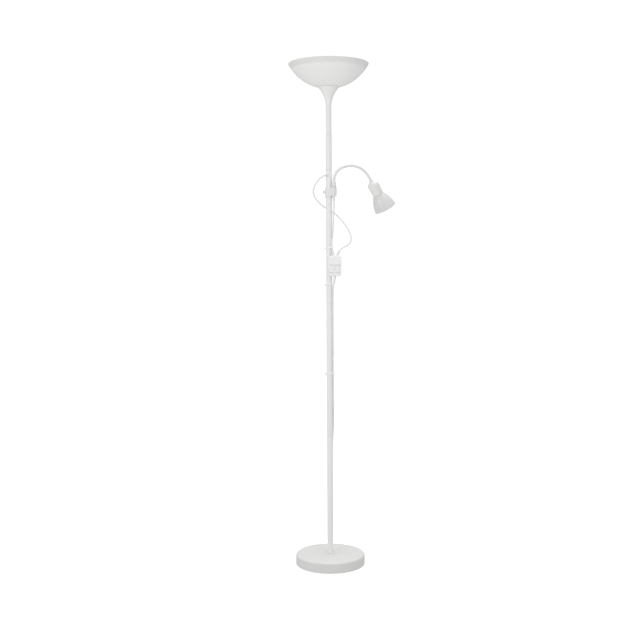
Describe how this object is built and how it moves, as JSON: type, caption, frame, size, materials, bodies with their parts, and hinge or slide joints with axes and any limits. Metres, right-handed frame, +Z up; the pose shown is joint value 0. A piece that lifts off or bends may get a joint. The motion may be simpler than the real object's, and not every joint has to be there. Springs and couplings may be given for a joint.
{
  "type": "torchiere floor lamp",
  "caption": "Free-standing floor lamp: round weighted base, slim sectional pole, upward bowl shade, and a reading head on a bendable neck clamped to the pole, with a twin cord switch.",
  "frame": {"origin": "centre of the base on the floor", "axes": "+Z up along the pole, +X to the side that the reading head reaches towards, -Y towards the switch rockers"},
  "size_m": [0.3776, 0.3384, 1.761],
  "materials": {
    "white_paint": "satin powder coat on steel",
    "white_plastic": "moulded, satin",
    "soft_plastic": "soft moulded",
    "cord_sheath": "soft PVC sheath",
    "plated_steel": "zinc or nickel plated",
    "cast_weight": "raw casting",
    "foot_pad": "matt",
    "opal_bulb": "opal diffuser"
  },
  "bodies": {
    "root": {"base_cover": "white_paint", "base_weight": "cast_weight", "base_pad": "foot_pad", "foot_stud": "plated_steel", "foot_nut": "plated_steel", "foot_post": "white_paint", "pole_section_1": "white_paint", "pole_section_2": "white_paint", "pole_section_3": "white_paint", "pole_section_4": "white_paint", "pole_coupler_1": "plated_steel", "pole_coupler_2": "plated_steel", "pole_coupler_3": "plated_steel", "cord_grommet": "soft_plastic", "shade_stem": "white_paint", "stem_nipple": "plated_steel", "uplight_lampholder": "white_plastic", "bowl_shade": "white_plastic", "shade_ring": "white_plastic", "uplight_bulb": "opal_bulb", "uplight_lead": "cord_sheath", "switch_front": "white_plastic", "switch_rear": "white_plastic", "switch_relief_uplight": "soft_plastic", "switch_relief_reading": "soft_plastic", "switch_relief_mains": "soft_plastic", "uplight_cord": "cord_sheath", "reading_cord_lower": "cord_sheath", "mains_cord": "cord_sheath", "mains_coil": "cord_sheath", "mains_tail": "cord_sheath", "mains_plug": "cord_sheath", "plug_pin_left": "plated_steel", "plug_pin_right": "plated_steel", "cord_tie": "foot_pad", "cord_clip_1": "soft_plastic", "cord_clip_2": "soft_plastic", "cord_clip_3": "soft_plastic"},
    "clamp_slider": {"clamp_liner": "soft_plastic", "reading_cord_upper": "cord_sheath"},
    "bracket": {"bracket_body": "white_plastic", "neck_ferrule": "white_plastic", "bracket_cord_relief": "soft_plastic", "neck_root": "white_plastic"},
    "thumb_screw": {"thumb_screw": "white_plastic"},
    "neck_1": {"neck_link_1": "white_plastic"},
    "neck_2": {"neck_link_2": "white_plastic"},
    "neck_3": {"neck_link_3": "white_plastic"},
    "neck_4": {"neck_link_4": "white_plastic"},
    "neck_5": {"neck_link_5": "white_plastic"},
    "neck_6": {"neck_link_6": "white_plastic"},
    "neck_7": {"neck_link_7": "white_plastic"},
    "neck_8": {"neck_link_8": "white_plastic"},
    "head": {"reading_bell": "white_plastic", "reading_socket_cover": "white_plastic", "reading_lampholder": "white_plastic", "reading_ring": "white_plastic", "reading_bulb": "opal_bulb"},
    "rocker_left": {"rocker_left": "white_plastic"},
    "rocker_right": {"rocker_right": "white_plastic"}
  },
  "joints": [
    {"name": "bracket_slide", "type": "slide", "parent": "root", "child": "clamp_slider", "axis": [0, 0, 1], "range_m": [-0.02, 0.01], "deforming": ["reading_cord_lower"]},
    {"name": "bracket_swivel", "type": "hinge", "parent": "clamp_slider", "child": "bracket", "pos_m": [0, 0, 1.319], "axis": [0, 0, 1], "range_deg": [-60, 60], "deforming": ["reading_cord_upper"]},
    {"name": "thumb_screw_turn", "type": "hinge", "parent": "bracket", "child": "thumb_screw", "pos_m": [0, 0, 1.32], "axis": [-0.866, 0.5, 0], "continuous": true},
    {"name": "neck_lean", "type": "hinge", "parent": "bracket", "child": "neck_1", "pos_m": [0.01743, -0.01505, 1.3578], "axis": [0.866, 0.5, 0], "range_deg": [-20, 20]},
    {"name": "neck_curl_1", "type": "hinge", "parent": "neck_1", "child": "neck_2", "pos_m": [0.01917, -0.01404, 1.3696], "axis": [-0.5, 0.866, 0], "range_deg": [-20, 6]},
    {"name": "neck_curl_2", "type": "hinge", "parent": "neck_2", "child": "neck_3", "pos_m": [0.03036, -0.00759, 1.39187], "axis": [-0.5, 0.866, 0], "range_deg": [-20, 6]},
    {"name": "neck_curl_3", "type": "hinge", "parent": "neck_3", "child": "neck_4", "pos_m": [0.04923, 0.00331, 1.40563], "axis": [-0.5, 0.866, 0], "range_deg": [-20, 6]},
    {"name": "neck_curl_4", "type": "hinge", "parent": "neck_4", "child": "neck_5", "pos_m": [0.07107, 0.01592, 1.41166], "axis": [-0.5, 0.866, 0], "range_deg": [-18, 8]},
    {"name": "neck_curl_5", "type": "hinge", "parent": "neck_5", "child": "neck_6", "pos_m": [0.09351, 0.02888, 1.41105], "axis": [-0.5, 0.866, 0], "range_deg": [-18, 8]},
    {"name": "neck_curl_6", "type": "hinge", "parent": "neck_6", "child": "neck_7", "pos_m": [0.11485, 0.0412, 1.40307], "axis": [-0.5, 0.866, 0], "range_deg": [-18, 8]},
    {"name": "neck_curl_7", "type": "hinge", "parent": "neck_7", "child": "neck_8", "pos_m": [0.13312, 0.05174, 1.38804], "axis": [-0.5, 0.866, 0], "range_deg": [-18, 8]},
    {"name": "head_turn", "type": "hinge", "parent": "neck_8", "child": "head", "pos_m": [0.14703, 0.05978, 1.36706], "axis": [0.7296, 0.4212, 0.5388], "range_deg": [-24, 24]},
    {"name": "rocker_left_tip", "type": "hinge", "parent": "root", "child": "rocker_left", "pos_m": [0.0093, -0.0296, 1.0515], "axis": [-1, 0, 0], "range_deg": [0, 14]},
    {"name": "rocker_right_tip", "type": "hinge", "parent": "root", "child": "rocker_right", "pos_m": [0.0301, -0.0296, 1.0515], "axis": [-1, 0, 0], "range_deg": [0, 14]}
  ],
  "couplings": [
    {"joint": "neck_curl_2", "follows": "neck_curl_1", "ratio": 1},
    {"joint": "neck_curl_3", "follows": "neck_curl_1", "ratio": 1},
    {"joint": "neck_curl_5", "follows": "neck_curl_4", "ratio": 1},
    {"joint": "neck_curl_6", "follows": "neck_curl_4", "ratio": 1},
    {"joint": "neck_curl_7", "follows": "neck_curl_4", "ratio": 1}
  ]
}
